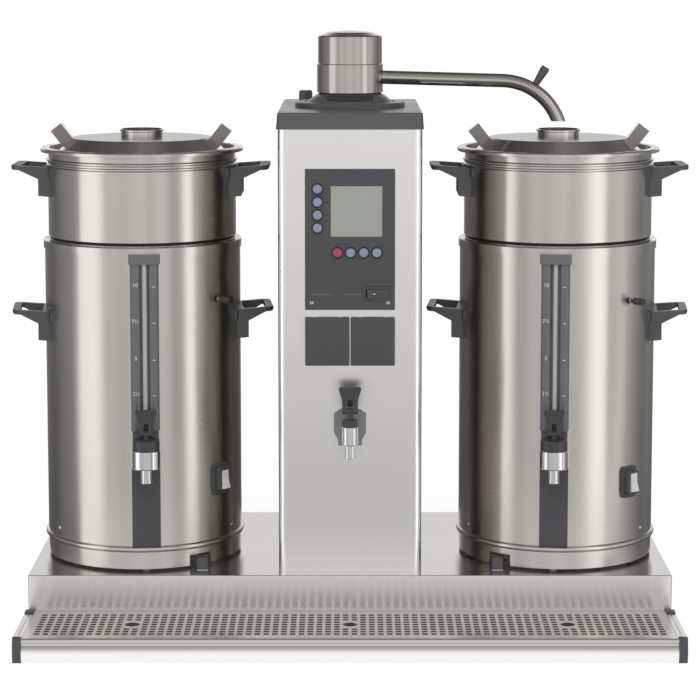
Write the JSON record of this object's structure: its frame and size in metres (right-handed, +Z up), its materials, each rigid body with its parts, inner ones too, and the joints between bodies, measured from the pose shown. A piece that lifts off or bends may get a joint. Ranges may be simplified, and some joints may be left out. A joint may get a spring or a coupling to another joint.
{
  "type": "twin bulk coffee brewer with tapped urns",
  "caption": "Bulk coffee brewer: stainless boiler column on a platform between insulated, tapped coffee urns with filter vessels and lids, swivel arm, hot-water tap and drip tray.",
  "frame": {"origin": "middle of the whole footprint, on the table", "axes": "+Z up, front with the taps faces -Y, +X to the right seen from the front"},
  "size_m": [0.9784, 0.539, 0.844],
  "materials": {
    "stainless": "brushed",
    "chrome": "polished",
    "dark_plastic": "satin",
    "white_plastic": "gloss",
    "blue_button": "satin",
    "red_button": "satin",
    "display": "gloss",
    "sight_glass": "clear",
    "foot_rubber": "matte",
    "brass": "plated"
  },
  "bodies": {
    "stand": {"base_platform": "stainless", "levelling_feet": "foot_rubber", "column_housing": "stainless", "column_cap": "dark_plastic", "boiler": "stainless", "heating_element": "stainless", "water_inlet": "brass", "cable_gland": "dark_plastic", "control_panel": "dark_plastic", "display_window": "display", "socket_block": "dark_plastic", "hot_tap_backplate": "dark_plastic", "hot_tap_body": "chrome", "hot_tap_bonnet": "dark_plastic"},
    "tray": {"drip_tray": "stainless", "tray_corner_caps": "dark_plastic"},
    "grid": {"drip_grid": "stainless"},
    "plug": {"descaling_plug": "dark_plastic"},
    "arm": {"swivel_arm": "chrome", "arm_knob": "dark_plastic"},
    "hot_lever": {"hot_tap_lever": "dark_plastic"},
    "mains_rocker": {"mains_rocker": "dark_plastic"},
    "flap_left": {"socket_flap_left": "dark_plastic"},
    "flap_right": {"socket_flap_right": "dark_plastic"},
    "menu_button_1": {"menu_button_1": "blue_button"},
    "menu_button_2": {"menu_button_2": "blue_button"},
    "menu_button_3": {"menu_button_3": "blue_button"},
    "menu_button_4": {"menu_button_4": "blue_button"},
    "stop_button": {"stop_button": "red_button"},
    "brew_button_1": {"brew_button_1": "blue_button"},
    "brew_button_2": {"brew_button_2": "blue_button"},
    "brew_button_3": {"brew_button_3": "blue_button"},
    "container_left": {"container_shell_left": "stainless", "container_tank_left": "stainless", "gauge_rail_left": "dark_plastic", "gauge_tube_left": "sight_glass", "tap_body_left": "chrome", "tap_bonnet_left": "dark_plastic", "container_handles_left": "dark_plastic", "switch_housing_left": "dark_plastic"},
    "lever_left": {"tap_lever_left": "dark_plastic"},
    "heater_rocker_left": {"heater_rocker_left": "white_plastic"},
    "vessel_left": {"filter_vessel_left": "stainless", "vessel_handles_left": "dark_plastic", "filter_basket_left": "stainless"},
    "lid_left": {"filter_lid_left": "stainless"},
    "container_right": {"container_shell_right": "stainless", "container_tank_right": "stainless", "gauge_rail_right": "dark_plastic", "gauge_tube_right": "sight_glass", "tap_body_right": "chrome", "tap_bonnet_right": "dark_plastic", "container_handles_right": "dark_plastic", "switch_housing_right": "dark_plastic"},
    "lever_right": {"tap_lever_right": "dark_plastic"},
    "heater_rocker_right": {"heater_rocker_right": "white_plastic"},
    "vessel_right": {"filter_vessel_right": "stainless", "vessel_handles_right": "dark_plastic", "filter_basket_right": "stainless"},
    "lid_right": {"filter_lid_right": "stainless"}
  },
  "joints": [
    {"name": "tray_slide", "type": "slide", "parent": "stand", "child": "tray", "axis": [0, -1, 0], "range_m": [0, 0.15]},
    {"name": "grid_lift", "type": "slide", "parent": "tray", "child": "grid", "axis": [0, 0, 1], "range_m": [0, 0.05]},
    {"name": "plug_lift", "type": "slide", "parent": "stand", "child": "plug", "axis": [0, 0, 1], "range_m": [0, 0.03]},
    {"name": "arm_swivel", "type": "hinge", "parent": "stand", "child": "arm", "pos_m": [0, 0.0315, 0.756], "axis": [0, 0, 1], "range_deg": [-180, 0]},
    {"name": "hot_lever_pull", "type": "hinge", "parent": "stand", "child": "hot_lever", "pos_m": [0, -0.155, 0.325], "axis": [1, 0, 0], "range_deg": [0, 45], "stiffness_Nm_per_rad": 0.15},
    {"name": "mains_rocker_tilt", "type": "hinge", "parent": "stand", "child": "mains_rocker", "pos_m": [0.0382, -0.1258, 0.4846], "axis": [0, 0, 1], "range_deg": [-16, 0]},
    {"name": "flap_left_lift", "type": "hinge", "parent": "stand", "child": "flap_left", "pos_m": [-0.0316, -0.1273, 0.4485], "axis": [-1, 0, 0], "range_deg": [0, 90]},
    {"name": "flap_right_lift", "type": "hinge", "parent": "stand", "child": "flap_right", "pos_m": [0.0316, -0.1273, 0.4485], "axis": [-1, 0, 0], "range_deg": [0, 90]},
    {"name": "menu_button_1_press", "type": "slide", "parent": "stand", "child": "menu_button_1", "axis": [0, 1, 0], "range_m": [0, 0.001], "stiffness_N_per_m": 250},
    {"name": "menu_button_2_press", "type": "slide", "parent": "stand", "child": "menu_button_2", "axis": [0, 1, 0], "range_m": [0, 0.001], "stiffness_N_per_m": 250},
    {"name": "menu_button_3_press", "type": "slide", "parent": "stand", "child": "menu_button_3", "axis": [0, 1, 0], "range_m": [0, 0.001], "stiffness_N_per_m": 250},
    {"name": "menu_button_4_press", "type": "slide", "parent": "stand", "child": "menu_button_4", "axis": [0, 1, 0], "range_m": [0, 0.001], "stiffness_N_per_m": 250},
    {"name": "stop_button_press", "type": "slide", "parent": "stand", "child": "stop_button", "axis": [0, 1, 0], "range_m": [0, 0.001], "stiffness_N_per_m": 250},
    {"name": "brew_button_1_press", "type": "slide", "parent": "stand", "child": "brew_button_1", "axis": [0, 1, 0], "range_m": [0, 0.001], "stiffness_N_per_m": 250},
    {"name": "brew_button_2_press", "type": "slide", "parent": "stand", "child": "brew_button_2", "axis": [0, 1, 0], "range_m": [0, 0.001], "stiffness_N_per_m": 250},
    {"name": "brew_button_3_press", "type": "slide", "parent": "stand", "child": "brew_button_3", "axis": [0, 1, 0], "range_m": [0, 0.001], "stiffness_N_per_m": 250},
    {"name": "container_left_slide", "type": "slide", "parent": "stand", "child": "container_left", "axis": [0, -1, 0], "range_m": [0, 0.15]},
    {"name": "lever_left_pull", "type": "hinge", "parent": "container_left", "child": "lever_left", "pos_m": [-0.28354, -0.13946, 0.289], "axis": [0.9954, 0.0958, 0], "range_deg": [0, 45], "stiffness_Nm_per_rad": 0.15},
    {"name": "heater_left_tilt", "type": "hinge", "parent": "container_left", "child": "heater_rocker_left", "pos_m": [-0.17978, -0.05746, 0.208], "axis": [0.5948, 0.8039, 0], "range_deg": [0, 16]},
    {"name": "vessel_left_lift", "type": "slide", "parent": "container_left", "child": "vessel_left", "axis": [0, 0, 1], "range_m": [0, 0.1]},
    {"name": "lid_left_lift", "type": "slide", "parent": "vessel_left", "child": "lid_left", "axis": [0, 0, 1], "range_m": [0, 0.15]},
    {"name": "container_right_slide", "type": "slide", "parent": "stand", "child": "container_right", "axis": [0, -1, 0], "range_m": [0, 0.15]},
    {"name": "lever_right_pull", "type": "hinge", "parent": "container_right", "child": "lever_right", "pos_m": [0.28354, -0.13946, 0.289], "axis": [0.9954, -0.0958, 0], "range_deg": [0, 45], "stiffness_Nm_per_rad": 0.15},
    {"name": "heater_right_tilt", "type": "hinge", "parent": "container_right", "child": "heater_rocker_right", "pos_m": [0.40103, -0.07876, 0.208], "axis": [0.7373, 0.6756, 0], "range_deg": [0, 16]},
    {"name": "vessel_right_turn", "type": "hinge", "parent": "container_right", "child": "vessel_right", "pos_m": [0.3, 0.0315, 0.547], "axis": [0, 0, 1], "continuous": true},
    {"name": "lid_right_turn", "type": "hinge", "parent": "vessel_right", "child": "lid_right", "pos_m": [0.3, 0.0315, 0.661], "axis": [0, 0, 1], "continuous": true}
  ]
}
